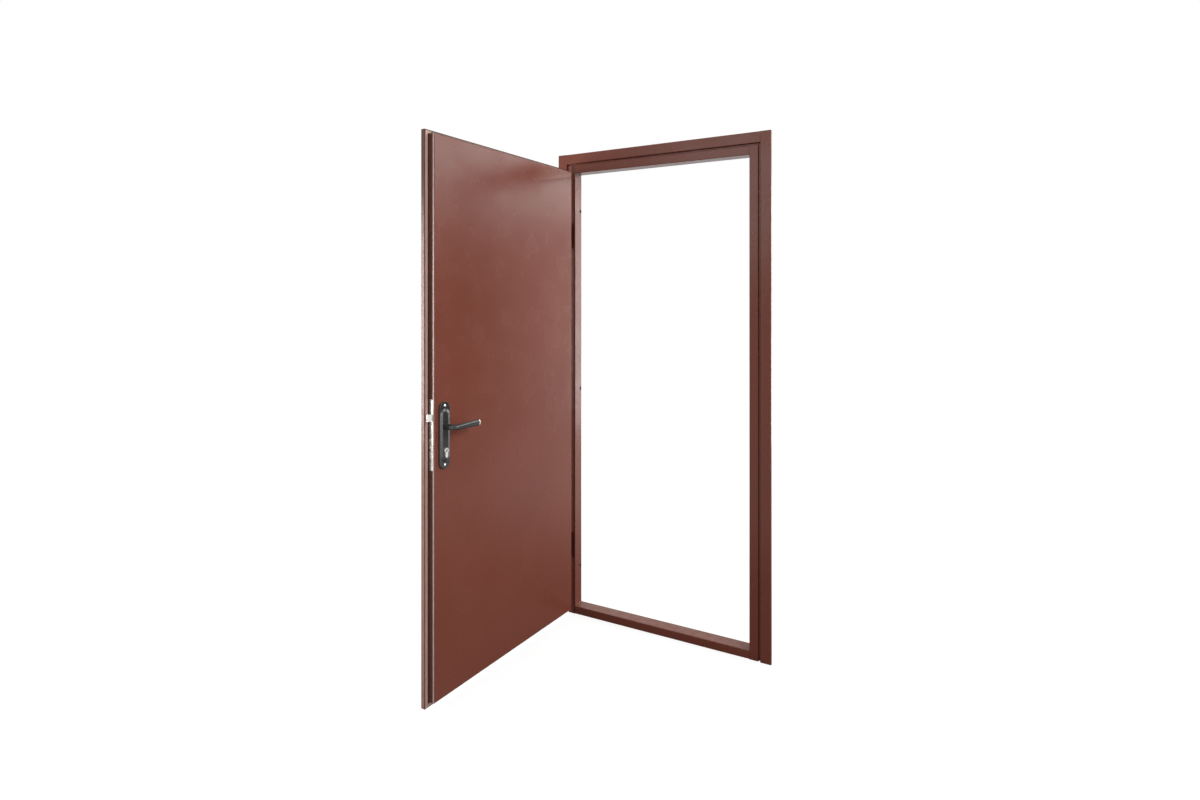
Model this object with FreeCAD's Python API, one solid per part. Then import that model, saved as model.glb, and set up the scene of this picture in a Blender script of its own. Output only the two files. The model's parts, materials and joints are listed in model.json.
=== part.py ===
import FreeCAD, Part
import os

Vector = FreeCAD.Vector

# Steel utility door in its frame, in millimetres.
# +X runs to the right seen from the side that the leaf opens to, +Y runs through the
# doorway away from that side, +Z is up.
# The origin lies at the middle of the threshold's underside.
# The leaf is drawn closed and then turned to the angle at which it stands open.

# Frame sizes
frame_width = 960.0
frame_height = 2050.0
frame_sheet = 1.5
bend_inner_radius = 1.0
casing_width = 43.0
casing_step = 3.0
casing_return = 10.0
groove_width = 8.0
groove_depth = 8.0
face_width = 86.0
reveal_depth = 57.0
rear_lip = 20.0

# Threshold sizes
threshold_height = 34.0
threshold_wall = 2.0
threshold_edge_radius = 3.0

# Wall anchor holes in the jamb reveals
anchor_hole_radius = 5.0
anchor_from_rear = 10.0
anchor_from_bottom = 200.0
anchor_from_top = 250.0
anchor_count = 3

# Leaf sizes
leaf_side_gap = 5.0
leaf_top_gap = 5.0
leaf_bottom_gap = 8.0
leaf_seal_gap = 3.0
flange_thickness = 18.0
flange_overhang = 14.5
flange_bottom_overhang = 22.0
skin_sheet = 1.5
skin_edge_radius = 2.5
tray_sheet = 1.2
tray_depth = 31.0
tray_edge_radius = 3.0
seal_width = 10.0
seal_thickness = 2.5
seal_from_edge = 3.0
open_angle = 95.0

# Hinge sizes
hinge_axis_outboard = 17.5
hinge_barrel_radius = 9.5
hinge_pin_radius = 5.0
hinge_pin_clearance = 0.08
hinge_half_length = 55.0
hinge_bearing_gap = 0.5
hinge_wall_above_pin = 8.0
hinge_leaf_wing = 7.0
hinge_frame_pad = 12.0
hinge_edge_radius = 1.5
upper_hinge_from_top = 365.0
lower_hinge_height = 310.0

# Lock sizes
spindle_height = 967.0
lock_depth_from_tray = 17.5
backset = 42.0
forend_below_case = 34.0
forend_above_case = 34.0
forend_width = 20.0
forend_thickness = 3.0
forend_clearance = 0.3
forend_screw_radius = 3.5
forend_screw_from_end = 9.0
forend_screw_length = 16.0
case_below_cylinder = 5.5
case_above_latch = 16.0
case_depth = 76.0
case_thickness = 20.0
case_wall = 1.5
latch_above_spindle = 33.0
latch_tall = 24.0
latch_thickness = 11.0
latch_proud = 12.0
latch_body = 25.0
latch_bevel_flat = 2.0
latch_clearance = 0.5
bolt_above_screw_head = 0.75
bolt_spacing = 23.0
bolt_radius = 6.5
bolt_length = 21.0
bolt_nose_chamfer = 1.0
bolt_clearance = 0.3
carrier_thickness = 4.0
carrier_margin = 1.0
strike_clearance = 1.5
strike_bolt_clearance = 0.5
strike_thickness = 3.0
strike_margin = 8.0

# Profile cylinder sizes
cylinder_below_spindle = 81.0
barrel_radius = 8.5
cylinder_tail_width = 10.0
cylinder_height = 33.0
cylinder_proud = 9.0
cylinder_slot = 10.0
plug_radius = 6.5
plug_clearance = 0.1
keyway_width = 2.2
keyway_height = 8.0
keyway_depth = 6.0
cam_reach = 13.0
cam_hub_radius = 6.5
cam_width = 8.0
cam_thickness = 9.4
cam_room = 2.0
cylinder_screw_radius = 2.5
cylinder_screw_past_axis = 2.5
cylinder_screw_head_radius = 4.5
cylinder_screw_head = 2.0

# Handle sizes
plate_below_cylinder = 39.0
plate_above_spindle = 84.5
plate_width = 46.0
plate_thickness = 6.0
plate_edge_radius = 1.5
panel_from_end = 24.0
panel_from_side = 2.0
panel_slope = 9.0
panel_rise = 3.0
plate_screw_from_end = 13.5
plate_screw_radius = 2.5
plate_screw_head_radius = 4.5
plate_screw_head = 1.6
plate_sleeve_radius = 4.0
plate_sleeve_clearance = 1.0
sheet_hole_clearance = 3.0
neck_radius = 10.0
neck_clearance = 0.3
elbow_bend_radius = 15.0
grip_stand_off = 51.0
grip_length = 118.0
grip_end_height = 21.5
grip_end_thickness = 12.0
grip_end_edge_radius = 1.0
elbow_turn = 90.0
spindle_side = 8.0
spindle_into_lever = 30.0

# How far a cutter runs past the face it leaves, and how near counts as on a face
cut_margin = 1.0
near = 1e-6

# Frame planes
half_width = frame_width / 2
stop_front = -reveal_depth / 2
frame_rear = reveal_depth / 2
casing_front = stop_front - casing_step
groove_floor = stop_front + groove_depth
inner_half_width = half_width - face_width
inner_top = frame_height - face_width
casing_inner = half_width - casing_width
strip_outer = casing_inner - groove_width
head_strip_top = frame_height - casing_width - groove_width

# Leaf planes, with the leaf closed
flange_inner_face = stop_front - leaf_seal_gap
skin_face = flange_inner_face - flange_thickness
tray_face = flange_inner_face + tray_depth
tray_half_width = inner_half_width - leaf_side_gap
tray_top = inner_top - leaf_top_gap
tray_bottom = threshold_height + leaf_bottom_gap
flange_half_width = tray_half_width + flange_overhang
flange_top = tray_top + flange_overhang
flange_bottom = tray_bottom - flange_bottom_overhang
hinge_x = -(flange_half_width + hinge_axis_outboard)
hinge_y = skin_face + flange_thickness / 2
upper_hinge_height = frame_height - upper_hinge_from_top

# Lock planes, with the leaf closed
lock_edge = tray_half_width
lock_plane = tray_face - lock_depth_from_tray
lock_axis_x = lock_edge - backset
case_front_x = lock_edge - forend_thickness
plate_inner_face = tray_face + plate_thickness
plate_outer_face = skin_face - plate_thickness

# Lock heights
cylinder_axis_height = spindle_height - cylinder_below_spindle
cylinder_bottom = cylinder_axis_height + barrel_radius - cylinder_height
bridge_top = cylinder_axis_height - cam_reach - cam_room
cylinder_screw_height = (cylinder_bottom + bridge_top) / 2
latch_height = spindle_height + latch_above_spindle
bolt_lowest = (cylinder_screw_height + cylinder_screw_head_radius
               + bolt_above_screw_head + bolt_radius)
bolt_heights = {
    "lower_deadbolt": bolt_lowest,
    "middle_deadbolt": bolt_lowest + bolt_spacing,
    "upper_deadbolt": bolt_lowest + 2 * bolt_spacing,
}
case_low = cylinder_bottom - case_below_cylinder
case_high = latch_height + latch_tall / 2 + case_above_latch
forend_low = case_low - forend_below_case
forend_high = case_high + forend_above_case
forend_screw_heights = (forend_low + forend_screw_from_end, forend_high - forend_screw_from_end)
plate_low = cylinder_bottom - plate_below_cylinder
plate_high = spindle_height + plate_above_spindle
plate_screw_heights = (plate_low + plate_screw_from_end, plate_high - plate_screw_from_end)


def box(x_low, x_high, y_low, y_high, z_low, z_high):
    corner = Vector(x_low, y_low, z_low)
    return Part.makeBox(x_high - x_low, y_high - y_low, z_high - z_low, corner)


def rod(radius, start, direction, length):
    return Part.makeCylinder(radius, length, start, direction)


def join(shapes):
    first, rest = shapes[0], shapes[1:]
    if not rest:
        return first
    return first.fuse(rest).removeSplitter()


def edges_along(shape, axis):
    chosen = []
    for edge in shape.Edges:
        if len(edge.Vertexes) != 2:
            continue
        span = edge.Vertexes[1].Point - edge.Vertexes[0].Point
        if span.Length > 0 and abs(abs(span.normalize() * axis) - 1) < near:
            chosen.append(edge)
    return chosen


def rim_edges(shape, y_place):
    """Edges that lie wholly in the plane at that depth."""
    chosen = []
    for edge in shape.Edges:
        span = edge.BoundBox
        if abs(span.YMin - y_place) < near and abs(span.YMax - y_place) < near:
            chosen.append(edge)
    return chosen


def rounded_path(points, radii):
    """Edges along right-angled corners, each rounded by its own radius."""
    edges = []
    start = points[0]
    for before, corner, after, radius in zip(points, points[1:], points[2:], radii):
        arriving = (corner - before).normalize()
        leaving = (after - corner).normalize()
        bend_start = corner - arriving * radius
        bend_end = corner + leaving * radius
        centre = bend_start + leaving * radius
        middle = centre + (corner - centre).normalize() * radius
        edges.append(Part.makeLine(start, bend_start))
        edges.append(Part.Arc(bend_start, middle, bend_end).toShape())
        start = bend_end
    edges.append(Part.makeLine(start, points[-1]))
    return edges


def bent_sheet_face(corners, sheet):
    """Section of a sheet bent square at each corner, its thickness to the left of the path."""
    points = [Vector(u, v, 0) for u, v in corners]
    directions = []
    for start, end in zip(points, points[1:]):
        directions.append((end - start).normalize())
    normals = [Vector(-d.y, d.x, 0) for d in directions]
    behind = [points[0] + normals[0] * sheet]
    front_radii = []
    back_radii = []
    for point, first, second in zip(points[1:], directions, directions[1:]):
        turn = first.x * second.y - first.y * second.x
        outer = bend_inner_radius + sheet
        front_radii.append(outer if turn > 0 else bend_inner_radius)
        back_radii.append(bend_inner_radius if turn > 0 else outer)
        shift = Vector(-first.y - second.y, first.x + second.x, 0)
        behind.append(point + shift * sheet)
    behind.append(points[-1] + normals[-1] * sheet)
    edges = rounded_path(points, front_radii) + rounded_path(behind, back_radii)
    edges.append(Part.makeLine(points[0], behind[0]))
    edges.append(Part.makeLine(points[-1], behind[-1]))
    return Part.Face(Part.Wire(Part.__sortEdges__(edges)))


def frame_profile(length):
    """Frame section pulled up along Z: u runs inward from the outer edge, v runs back."""
    corners = [
        (0, casing_front + casing_return),
        (0, casing_front),
        (casing_width, casing_front),
        (casing_width, groove_floor),
        (casing_width + groove_width, groove_floor),
        (casing_width + groove_width, stop_front),
        (face_width, stop_front),
        (face_width, frame_rear),
        (face_width - rear_lip, frame_rear),
    ]
    return bent_sheet_face(corners, frame_sheet).extrude(Vector(0, 0, length))


def anchor_heights():
    span = frame_height - anchor_from_top - anchor_from_bottom
    step = span / (anchor_count - 1)
    return [anchor_from_bottom + step * place for place in range(anchor_count)]


def make_hinge_jamb():
    """Jamb notched at the top where the head butts against it."""
    jamb = frame_profile(frame_height)
    jamb.translate(Vector(-half_width, 0, 0))
    inward = -inner_half_width + cut_margin
    front = casing_front - cut_margin
    back = frame_rear + cut_margin
    above = frame_height + cut_margin
    casing_notch = box(-casing_inner, inward, front, back, frame_height - casing_width, above)
    strip_notch = box(-strip_outer, inward, front, back, head_strip_top, above)
    jamb = jamb.cut([casing_notch, strip_notch])
    holes = []
    for height in anchor_heights():
        start = Vector(-inner_half_width - frame_sheet - cut_margin,
                       frame_rear - anchor_from_rear, height)
        holes.append(rod(anchor_hole_radius, start, Vector(1, 0, 0),
                         frame_sheet + 2 * cut_margin))
    return jamb.cut(holes)


def strike_openings(x_low, x_high):
    """Cutters for the latch window and the round bolt holes in the lock jamb."""
    half_window = latch_thickness / 2 + strike_clearance
    half_tall = latch_tall / 2 + strike_clearance
    cutters = [box(x_low, x_high, lock_plane - half_window, lock_plane + half_window,
                   latch_height - half_tall, latch_height + half_tall)]
    for height in bolt_heights.values():
        start = Vector(x_low, lock_plane, height)
        radius = bolt_radius + strike_bolt_clearance
        cutters.append(rod(radius, start, Vector(1, 0, 0), x_high - x_low))
    return cutters


def make_lock_jamb():
    """The hinge jamb mirrored, with the openings for the latch and the bolts."""
    jamb = make_hinge_jamb().mirror(Vector(0, 0, 0), Vector(1, 0, 0))
    return jamb.cut(strike_openings(inner_half_width - cut_margin,
                                    inner_half_width + frame_sheet + cut_margin))


def make_head():
    """Head whose casing fits between the jambs' casings and its strip between their reveals."""
    head = frame_profile(2 * casing_inner)
    head.rotate(Vector(0, 0, 0), Vector(0, 1, 0), 90)
    head.translate(Vector(-casing_inner, 0, frame_height))
    outward = casing_inner + cut_margin
    front = casing_front - cut_margin
    back = frame_rear + cut_margin
    below = inner_top - cut_margin
    casing_low = frame_height - casing_width
    cutters = [
        box(-outward, -strip_outer, front, back, below, casing_low),
        box(strip_outer, outward, front, back, below, casing_low),
        box(-outward, -inner_half_width, front, back, below, head_strip_top),
        box(inner_half_width, outward, front, back, below, head_strip_top),
    ]
    return head.cut(cutters)


def make_threshold():
    """Low closed tube between the jambs' reveals."""
    outer = box(-inner_half_width, inner_half_width, stop_front, frame_rear, 0, threshold_height)
    outer = outer.makeFillet(threshold_edge_radius, edges_along(outer, Vector(1, 0, 0)))
    inner = box(-inner_half_width, inner_half_width,
                stop_front + threshold_wall, frame_rear - threshold_wall,
                threshold_wall, threshold_height - threshold_wall)
    inner_radius = threshold_edge_radius - threshold_wall
    inner = inner.makeFillet(inner_radius, edges_along(inner, Vector(1, 0, 0)))
    return outer.cut(inner)


def make_strike_plate():
    """Plate welded behind the lock jamb's reveal, with the holes that take the bolts."""
    x_low = inner_half_width + frame_sheet
    y_low = stop_front + frame_sheet + bend_inner_radius
    y_high = lock_plane + bolt_radius + strike_margin
    x_high = x_low + strike_thickness
    plate = box(x_low, x_high, y_low, y_high, forend_low, forend_high)
    return plate.cut(strike_openings(x_low - cut_margin, x_high + cut_margin))


def sheet_cutters(y_low, y_high):
    """Holes in the leaf's sheets behind the handle plates."""
    length = y_high - y_low
    forward = Vector(0, 1, 0)
    neck = rod(neck_radius + sheet_hole_clearance, Vector(lock_axis_x, y_low, spindle_height),
               forward, length)
    half_slot = barrel_radius + sheet_hole_clearance
    slot = box(lock_axis_x - half_slot, lock_axis_x + half_slot, y_low, y_high,
               cylinder_bottom - sheet_hole_clearance, cylinder_axis_height + half_slot)
    cutters = [neck, slot]
    for height in plate_screw_heights:
        cutters.append(rod(plate_sleeve_radius + plate_sleeve_clearance,
                           Vector(lock_axis_x, y_low, height), forward, length))
    return cutters


def make_leaf_outer_skin():
    """Outer sheet folded back round all four edges and returned inward to the tray."""
    outer = box(-flange_half_width, flange_half_width, skin_face, flange_inner_face,
                flange_bottom, flange_top)
    outer = outer.makeFillet(skin_edge_radius, edges_along(outer, Vector(0, 0, 1)))
    inner = box(-flange_half_width + skin_sheet, flange_half_width - skin_sheet,
                skin_face + skin_sheet, flange_inner_face - skin_sheet,
                flange_bottom + skin_sheet, flange_top - skin_sheet)
    inner_radius = skin_edge_radius - skin_sheet
    inner = inner.makeFillet(inner_radius, edges_along(inner, Vector(0, 0, 1)))
    window = box(-tray_half_width, tray_half_width,
                 flange_inner_face - skin_sheet - cut_margin, flange_inner_face + cut_margin,
                 tray_bottom, tray_top)
    holes = sheet_cutters(skin_face - cut_margin, skin_face + skin_sheet + cut_margin)
    return outer.cut([inner, window] + holes)


def make_leaf_inner_tray():
    """Inner sheet folded forward round all four edges, its walls meeting the outer sheet."""
    front = skin_face + skin_sheet
    outer = box(-tray_half_width, tray_half_width, front, tray_face, tray_bottom, tray_top)
    outer = outer.makeFillet(tray_edge_radius, rim_edges(outer, tray_face))
    inner = box(-tray_half_width + tray_sheet, tray_half_width - tray_sheet,
                front - cut_margin, tray_face - tray_sheet,
                tray_bottom + tray_sheet, tray_top - tray_sheet)
    inner = inner.makeFillet(tray_edge_radius - tray_sheet,
                             rim_edges(inner, tray_face - tray_sheet))
    half_wide = forend_width / 2 + forend_clearance
    forend_cut = box(lock_edge - tray_sheet - cut_margin, lock_edge + cut_margin,
                     lock_plane - half_wide, lock_plane + half_wide,
                     forend_low - forend_clearance, forend_high + forend_clearance)
    holes = sheet_cutters(tray_face - tray_sheet - cut_margin, tray_face + cut_margin)
    return outer.cut([inner, forend_cut] + holes)


def make_leaf_seal():
    """Rubber strip round the flange's inner face, just inside its edge."""
    reach = flange_half_width - seal_from_edge
    low = flange_bottom + seal_from_edge
    high = flange_top - seal_from_edge
    outer = box(-reach, reach, flange_inner_face, flange_inner_face + seal_thickness, low, high)
    inner = box(-reach + seal_width, reach - seal_width,
                flange_inner_face - cut_margin, flange_inner_face + seal_thickness + cut_margin,
                low + seal_width, high - seal_width)
    return outer.cut(inner)


def hinge_barrel(low, high):
    barrel = rod(hinge_barrel_radius, Vector(hinge_x, hinge_y, low), Vector(0, 0, 1), high - low)
    rims = [edge for edge in barrel.Edges if edge.BoundBox.ZLength < near]
    return barrel.makeFillet(hinge_edge_radius, rims)


def make_hinge_frame_half(middle):
    """Lower barrel with the pad that is welded to the jamb."""
    low = middle - hinge_bearing_gap / 2 - hinge_half_length
    high = middle - hinge_bearing_gap / 2
    pad = box(hinge_x - hinge_frame_pad / 2, hinge_x + hinge_frame_pad / 2, hinge_y, stop_front,
              low + hinge_edge_radius, high - hinge_edge_radius)
    half = join([hinge_barrel(low, high), pad])
    bore_start = Vector(hinge_x, hinge_y, low + hinge_wall_above_pin)
    return half.cut(rod(hinge_pin_radius, bore_start, Vector(0, 0, 1), hinge_half_length))


def make_hinge_pin(middle):
    low = middle - hinge_bearing_gap / 2 - hinge_half_length + hinge_wall_above_pin
    length = 2 * (hinge_half_length - hinge_wall_above_pin)
    return rod(hinge_pin_radius, Vector(hinge_x, hinge_y, low), Vector(0, 0, 1), length)


def make_hinge_leaf_half(middle):
    """Upper barrel with the wing that is welded to the edge of the leaf's flange."""
    low = middle + hinge_bearing_gap / 2
    high = low + hinge_half_length
    wing = box(hinge_x, -flange_half_width,
               hinge_y - hinge_leaf_wing / 2, hinge_y + hinge_leaf_wing / 2,
               low + hinge_edge_radius, high - hinge_edge_radius)
    half = join([hinge_barrel(low, high), wing])
    bore_length = hinge_half_length - hinge_wall_above_pin + hinge_bearing_gap
    bore = rod(hinge_pin_radius + hinge_pin_clearance,
               Vector(hinge_x, hinge_y, low - cut_margin),
               Vector(0, 0, 1), cut_margin + bore_length)
    return half.cut(bore)


def profile_solid(y_low, y_high, clearance):
    """Euro profile: a round barrel with a narrow tail below it."""
    length = y_high - y_low
    radius = barrel_radius + clearance
    half_tail = cylinder_tail_width / 2 + clearance
    foot_height = cylinder_bottom - clearance + half_tail
    barrel = rod(radius, Vector(lock_axis_x, y_low, cylinder_axis_height), Vector(0, 1, 0), length)
    tail = box(lock_axis_x - half_tail, lock_axis_x + half_tail, y_low, y_high,
               foot_height, cylinder_axis_height)
    foot = rod(half_tail, Vector(lock_axis_x, y_low, foot_height), Vector(0, 1, 0), length)
    return join([barrel, tail, foot])


def make_lock_cylinder():
    """Profile cylinder right through the leaf, cut away round the cam."""
    y_low = plate_outer_face - cylinder_proud
    y_high = plate_inner_face + cylinder_proud
    body = profile_solid(y_low, y_high, 0)
    bore = rod(plug_radius + plug_clearance,
               Vector(lock_axis_x, y_low - cut_margin, cylinder_axis_height),
               Vector(0, 1, 0), y_high - y_low + 2 * cut_margin)
    past_barrel = barrel_radius + cut_margin
    slot = box(lock_axis_x - past_barrel, lock_axis_x + past_barrel,
               lock_plane - cylinder_slot / 2, lock_plane + cylinder_slot / 2,
               bridge_top, cylinder_axis_height + past_barrel)
    screw_hole = rod(cylinder_screw_radius, Vector(lock_axis_x, lock_plane, cylinder_screw_height),
                     Vector(1, 0, 0), past_barrel)
    return body.cut([bore, slot, screw_hole])


def make_plug(outward, face, depth):
    """Turning plug with a keyway in its end, from the cylinder's face to the cam."""
    start = Vector(lock_axis_x, face, cylinder_axis_height)
    plug = rod(plug_radius, start, Vector(0, -outward, 0), depth)
    inner_end = face - outward * keyway_depth
    low, high = sorted((face + outward, inner_end))
    keyway = box(lock_axis_x - keyway_width / 2, lock_axis_x + keyway_width / 2, low, high,
                 cylinder_axis_height - keyway_height + keyway_width,
                 cylinder_axis_height + keyway_width)
    return plug.cut(keyway)


def make_inner_plug():
    face = plate_inner_face + cylinder_proud
    return make_plug(1, face, face - lock_plane - cam_thickness / 2)


def make_outer_plug():
    face = plate_outer_face - cylinder_proud
    return make_plug(-1, face, lock_plane - cam_thickness / 2 - face)


def make_cylinder_cam():
    """Hub between the two plugs with the finger that drives the bolts."""
    start = Vector(lock_axis_x, lock_plane - cam_thickness / 2, cylinder_axis_height)
    hub = rod(cam_hub_radius, start, Vector(0, 1, 0), cam_thickness)
    finger = box(lock_axis_x - cam_width / 2, lock_axis_x + cam_width / 2,
                 lock_plane - cam_thickness / 2, lock_plane + cam_thickness / 2,
                 cylinder_axis_height - cam_reach, cylinder_axis_height)
    return join([hub, finger])


def make_lock_case():
    """Thin steel case behind the forend, open where the spindle and the cylinder pass."""
    x_high = case_front_x
    x_low = x_high - case_depth
    y_low = lock_plane - case_thickness / 2
    y_high = lock_plane + case_thickness / 2
    outer = box(x_low, x_high, y_low, y_high, case_low, case_high)
    inner = box(x_low + case_wall, x_high - case_wall, y_low + case_wall, y_high - case_wall,
                case_low + case_wall, case_high - case_wall)
    cutters = forend_openings(x_high - case_wall - cut_margin, x_high + cut_margin)
    cutters.append(inner)
    cutters.append(profile_solid(y_low - cut_margin, y_high + cut_margin, forend_clearance))
    cutters.append(rod(neck_radius + neck_clearance,
                       Vector(lock_axis_x, y_low - cut_margin, spindle_height),
                       Vector(0, 1, 0), case_thickness + 2 * cut_margin))
    return outer.cut(cutters)


def forend_openings(x_low, x_high):
    """Cutters for the latch, the bolts and the cylinder screw."""
    length = x_high - x_low
    half_thick = latch_thickness / 2 + latch_clearance
    half_tall = latch_tall / 2 + latch_clearance
    cutters = [box(x_low, x_high, lock_plane - half_thick, lock_plane + half_thick,
                   latch_height - half_tall, latch_height + half_tall)]
    for height in bolt_heights.values():
        cutters.append(rod(bolt_radius + bolt_clearance, Vector(x_low, lock_plane, height),
                           Vector(1, 0, 0), length))
    cutters.append(rod(cylinder_screw_radius, Vector(x_low, lock_plane, cylinder_screw_height),
                       Vector(1, 0, 0), length))
    return cutters


def make_lock_forend():
    """Face plate of the lock, let into the tray's wall."""
    forend = box(case_front_x, lock_edge, lock_plane - forend_width / 2,
                 lock_plane + forend_width / 2, forend_low, forend_high)
    holes = forend_openings(case_front_x - cut_margin, lock_edge + cut_margin)
    for height in forend_screw_heights:
        start = Vector(case_front_x - cut_margin, lock_plane, height)
        holes.append(rod(forend_screw_radius, start, Vector(1, 0, 0),
                         forend_thickness + 2 * cut_margin))
    head_start = Vector(lock_edge - cylinder_screw_head, lock_plane, cylinder_screw_height)
    holes.append(rod(cylinder_screw_head_radius, head_start, Vector(1, 0, 0),
                     cylinder_screw_head + cut_margin))
    return forend.cut(holes)


def make_forend_screws():
    screws = []
    for height in forend_screw_heights:
        start = Vector(lock_edge - forend_screw_length, lock_plane, height)
        screws.append(rod(forend_screw_radius, start, Vector(1, 0, 0), forend_screw_length))
    return Part.makeCompound(screws)


def make_cylinder_screw():
    """Screw through the forend into the cylinder's bridge."""
    tip = lock_axis_x + cylinder_screw_past_axis
    under_head = lock_edge - cylinder_screw_head
    shank = rod(cylinder_screw_radius, Vector(tip, lock_plane, cylinder_screw_height),
                Vector(1, 0, 0), under_head - tip)
    head = rod(cylinder_screw_head_radius, Vector(under_head, lock_plane, cylinder_screw_height),
               Vector(1, 0, 0), cylinder_screw_head)
    return join([shank, head])


def make_latch_bolt():
    """Spring latch, bevelled on the side that meets the jamb as the leaf closes."""
    tip = lock_edge + latch_proud
    low_y = lock_plane - latch_thickness / 2
    high_y = lock_plane + latch_thickness / 2
    outline = [
        Vector(lock_edge - latch_body, low_y, 0),
        Vector(tip, low_y, 0),
        Vector(tip, low_y + latch_bevel_flat, 0),
        Vector(lock_edge, high_y, 0),
        Vector(lock_edge - latch_body, high_y, 0),
        Vector(lock_edge - latch_body, low_y, 0),
    ]
    face = Part.Face(Part.makePolygon(outline))
    latch = face.extrude(Vector(0, 0, latch_tall))
    latch.translate(Vector(0, 0, latch_height - latch_tall / 2))
    return latch


def make_deadbolt(height):
    start = Vector(lock_edge - bolt_length, lock_plane, height)
    bolt = rod(bolt_radius, start, Vector(1, 0, 0), bolt_length)
    nose = [edge for edge in bolt.Edges if abs(edge.CenterOfMass.x - lock_edge) < near]
    return bolt.makeChamfer(bolt_nose_chamfer, nose)


def make_bolt_carrier():
    """Bar that joins the three bolts behind the forend."""
    heights = sorted(bolt_heights.values())
    x_high = lock_edge - bolt_length
    return box(x_high - carrier_thickness, x_high,
               lock_plane - bolt_radius, lock_plane + bolt_radius,
               heights[0] - bolt_radius + carrier_margin, heights[-1] + bolt_radius)


def rounded_slab(width, low, high, thickness, face, outward):
    """Flat plate with half-round ends and a rounded rim, standing on a face."""
    radius = width / 2
    base = min(face, face + outward * thickness)
    axis = Vector(0, 1, 0)
    upper = rod(radius, Vector(lock_axis_x, base, high - radius), axis, thickness)
    lower = rod(radius, Vector(lock_axis_x, base, low + radius), axis, thickness)
    between = box(lock_axis_x - radius, lock_axis_x + radius, base, base + thickness,
                  low + radius, high - radius)
    slab = join([upper, lower, between])
    return slab.makeFillet(plate_edge_radius, rim_edges(slab, face + outward * thickness))


def raised_panel(face, outward):
    """Long field with half-round ends, sloping up from its foot on the plate to a flat crown."""
    foot = plate_width / 2 - panel_from_side
    crown = foot - panel_slope
    low = plate_low + panel_from_end + foot
    high = plate_high - panel_from_end - foot
    ends = [Part.makeCone(foot, crown, panel_rise, Vector(lock_axis_x, face, height),
                          Vector(0, outward, 0)) for height in (low, high)]
    crown_face = face + outward * panel_rise
    outline = [
        Vector(lock_axis_x - foot, face, low),
        Vector(lock_axis_x + foot, face, low),
        Vector(lock_axis_x + crown, crown_face, low),
        Vector(lock_axis_x - crown, crown_face, low),
        Vector(lock_axis_x - foot, face, low),
    ]
    between = Part.Face(Part.makePolygon(outline)).extrude(Vector(0, 0, high - low))
    return join(ends + [between])


def make_handle_plate(face, outward):
    """Long plate with a raised middle panel, bored for the lever and the cylinder."""
    field_face = face + outward * plate_thickness
    plate = join([
        rounded_slab(plate_width, plate_low, plate_high, plate_thickness, face, outward),
        raised_panel(field_face, outward),
    ])
    low, high = sorted((face - outward * cut_margin,
                        field_face + outward * (panel_rise + cut_margin)))
    neck_hole = rod(neck_radius + neck_clearance, Vector(lock_axis_x, low, spindle_height),
                    Vector(0, 1, 0), high - low)
    holes = [neck_hole, profile_solid(low, high, forend_clearance)]
    for height in plate_screw_heights:
        holes.append(rod(plate_screw_radius, Vector(lock_axis_x, low, height),
                         Vector(0, 1, 0), high - low))
    return plate.cut(holes)


def make_inner_plate():
    return make_handle_plate(tray_face, 1)


def make_outer_plate():
    return make_handle_plate(skin_face, -1)


def make_plate_screws():
    """Two through screws with their heads inside and sleeves that seat on the outer plate."""
    screws = []
    for height in plate_screw_heights:
        shank = rod(plate_screw_radius, Vector(lock_axis_x, plate_outer_face, height),
                    Vector(0, 1, 0), plate_inner_face - plate_outer_face)
        sleeve = rod(plate_sleeve_radius, Vector(lock_axis_x, skin_face, height),
                     Vector(0, 1, 0), tray_face - skin_face)
        head = rod(plate_screw_head_radius, Vector(lock_axis_x, plate_inner_face, height),
                   Vector(0, 1, 0), plate_screw_head)
        screws.append(join([shank, sleeve, head]))
    return Part.makeCompound(screws)


def grip_end_outline(y_middle):
    """Upright oval at the free end of the grip."""
    tip_x = lock_axis_x - grip_length
    centre = Vector(tip_x, y_middle, spindle_height)
    top = centre + Vector(0, 0, grip_end_height / 2)
    side = centre + Vector(0, grip_end_thickness / 2, 0)
    return Part.Wire(Part.Ellipse(top, side, centre).toShape())


def make_lever(face, outward):
    """Lever: a round neck through the plate, a bent elbow and a flattening grip."""
    neck_end = grip_stand_off - elbow_bend_radius
    neck = rod(neck_radius, Vector(lock_axis_x, face, spindle_height),
               Vector(0, outward, 0), neck_end)
    bend_start = Vector(lock_axis_x, face + outward * neck_end, spindle_height)
    section = Part.Circle(bend_start, Vector(0, 1, 0), neck_radius).toShape()
    bend_centre = bend_start - Vector(elbow_bend_radius, 0, 0)
    elbow = Part.Face(Part.Wire(section)).revolve(bend_centre, Vector(0, 0, outward),
                                                   elbow_turn)
    grip_y = face + outward * grip_stand_off
    grip_start = Vector(lock_axis_x - elbow_bend_radius, grip_y, spindle_height)
    start_outline = Part.Wire(Part.Circle(grip_start, Vector(1, 0, 0), neck_radius).toShape())
    grip = Part.makeLoft([start_outline, grip_end_outline(grip_y)], True)
    tip_x = lock_axis_x - grip_length
    rim = [edge for edge in grip.Edges if abs(edge.BoundBox.XMax - tip_x) < near]
    grip = grip.makeFillet(grip_end_edge_radius, rim)
    lever = join([neck, elbow, grip])
    return lever.cut(spindle_bar(face - outward * cut_margin,
                                 face + outward * spindle_into_lever))


def spindle_bar(first_y, second_y):
    low, high = sorted((first_y, second_y))
    half = spindle_side / 2
    return box(lock_axis_x - half, lock_axis_x + half, low, high,
               spindle_height - half, spindle_height + half)


def make_inner_lever():
    return make_lever(tray_face, 1)


def make_outer_lever():
    return make_lever(skin_face, -1)


def make_spindle():
    return spindle_bar(skin_face - spindle_into_lever, tray_face + spindle_into_lever)


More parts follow.
